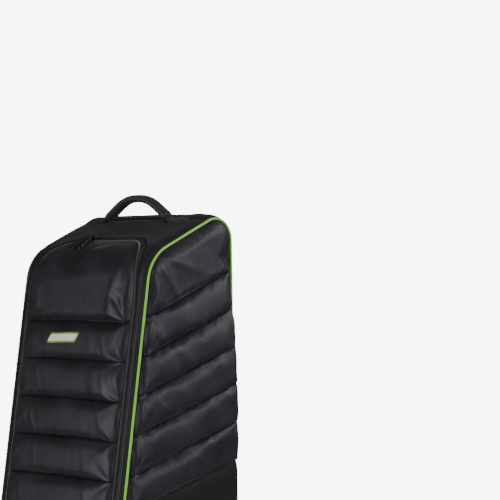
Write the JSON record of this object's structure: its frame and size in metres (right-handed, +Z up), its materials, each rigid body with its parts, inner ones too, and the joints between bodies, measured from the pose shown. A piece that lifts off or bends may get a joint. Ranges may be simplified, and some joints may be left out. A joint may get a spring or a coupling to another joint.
{
  "type": "golf travel case",
  "caption": "Tall soft-sided golf travel case with a quilted zip-open front lid, sloped top with padded carry handle, bright edge piping, and a moulded base with rear wheels and front feet.",
  "frame": {"origin": "on the floor, at the middle of the standing case's bounding box", "axes": "+Z up; -Y is the front with the zipped lid; +X is the case's left when it faces you, the right-hand side in a front view"},
  "size_m": [0.388, 0.38, 1.325],
  "materials": {
    "shell_fabric": "fine checked nylon, soft sheen",
    "lower_fabric": "plain coarse nylon, matte",
    "lining": "thin woven lining",
    "foam": "closed-cell foam",
    "piping": "satin covered piping",
    "zipper_coil": "spiral nylon coil",
    "zipper_tape": "woven tape",
    "binding": "folded binding tape",
    "slider_metal": "glossy black",
    "pull": "moulded gloss black",
    "badge": "moulded soft patch, plain",
    "handle_fabric": "padded fabric sleeve, stitched",
    "webbing": "ribbed webbing",
    "tray_plastic": "fine moulded texture",
    "board_plastic": "extruded sheet",
    "buckle_plastic": "moulded",
    "tyre": "polyurethane",
    "hub_plastic": "moulded nylon",
    "steel": "zinc plated",
    "foot_rubber": "moulded rubber"
  },
  "bodies": {
    "case": {"back_panel": "shell_fabric", "back_board": "board_plastic", "front_border": "shell_fabric", "top_yoke": "shell_fabric", "lower_front_panel": "lower_fabric", "lid_hinge_tape": "binding", "frame_zipper_coil": "zipper_coil", "frame_zipper_tape": "zipper_tape", "zipper_stops": "steel", "crown_pad": "foam", "floor_pad": "foam", "base_tray": "tray_plastic", "front_feet": "foot_rubber", "foot_screws": "steel", "tray_rivets": "steel", "handle_anchors": "webbing", "upper_strap": "webbing", "lower_strap": "webbing", "upper_buckle_socket": "buckle_plastic", "upper_buckle_plug": "buckle_plastic", "lower_buckle_socket": "buckle_plastic", "lower_buckle_plug": "buckle_plastic", "strap_rivets": "steel", "left_side_panel": "shell_fabric", "left_lower_side_panel": "lower_fabric", "left_piping": "piping", "left_wheel_housing": "tray_plastic", "left_axle": "steel", "right_side_panel": "shell_fabric", "right_lower_side_panel": "lower_fabric", "right_piping": "piping", "right_wheel_housing": "tray_plastic", "right_axle": "steel"},
    "lid": {"lid_panel": "shell_fabric", "lid_lining": "lining", "lid_binding": "binding", "lid_zipper_tape": "zipper_tape", "lid_zipper_coil": "zipper_coil", "badge": "badge"},
    "handle": {"handle_grip": "handle_fabric", "handle_webbing": "webbing"},
    "left_slider": {"left_slider": "slider_metal"},
    "left_pull": {"left_pull": "pull"},
    "left_wheel": {"left_hub": "hub_plastic", "left_tyre": "tyre", "left_bearings": "steel"},
    "right_slider": {"right_slider": "slider_metal"},
    "right_pull": {"right_pull": "pull"},
    "right_wheel": {"right_hub": "hub_plastic", "right_tyre": "tyre", "right_bearings": "steel"}
  },
  "joints": [
    {"name": "lid_hinge", "type": "hinge", "parent": "case", "child": "lid", "pos_m": [0, -0.189, 0.15], "axis": [1, 0, 0], "range_deg": [0, 95]},
    {"name": "handle_tilt", "type": "hinge", "parent": "case", "child": "handle", "pos_m": [0, 0.099, 1.276], "axis": [1, 0, 0], "range_deg": [-30, 75], "stiffness_Nm_per_rad": 0.6},
    {"name": "left_slider_travel", "type": "slide", "parent": "case", "child": "left_slider", "axis": [-1, 0, 0], "range_m": [0, 0.015]},
    {"name": "left_pull_swing", "type": "hinge", "parent": "left_slider", "child": "left_pull", "pos_m": [-0.068, 0.0171, 1.24382], "axis": [-1, 0, 0], "range_deg": [0, 110]},
    {"name": "left_wheel_spin", "type": "hinge", "parent": "case", "child": "left_wheel", "pos_m": [-0.16, 0.152, 0.038], "axis": [1, 0, 0], "continuous": true},
    {"name": "right_slider_travel", "type": "slide", "parent": "case", "child": "right_slider", "axis": [1, 0, 0], "range_m": [0, 0.129]},
    {"name": "right_pull_swing", "type": "hinge", "parent": "right_slider", "child": "right_pull", "pos_m": [-0.046, 0.0171, 1.24382], "axis": [-1, 0, 0], "range_deg": [0, 110]},
    {"name": "right_wheel_spin", "type": "hinge", "parent": "case", "child": "right_wheel", "pos_m": [0.16, 0.152, 0.038], "axis": [1, 0, 0], "continuous": true}
  ]
}
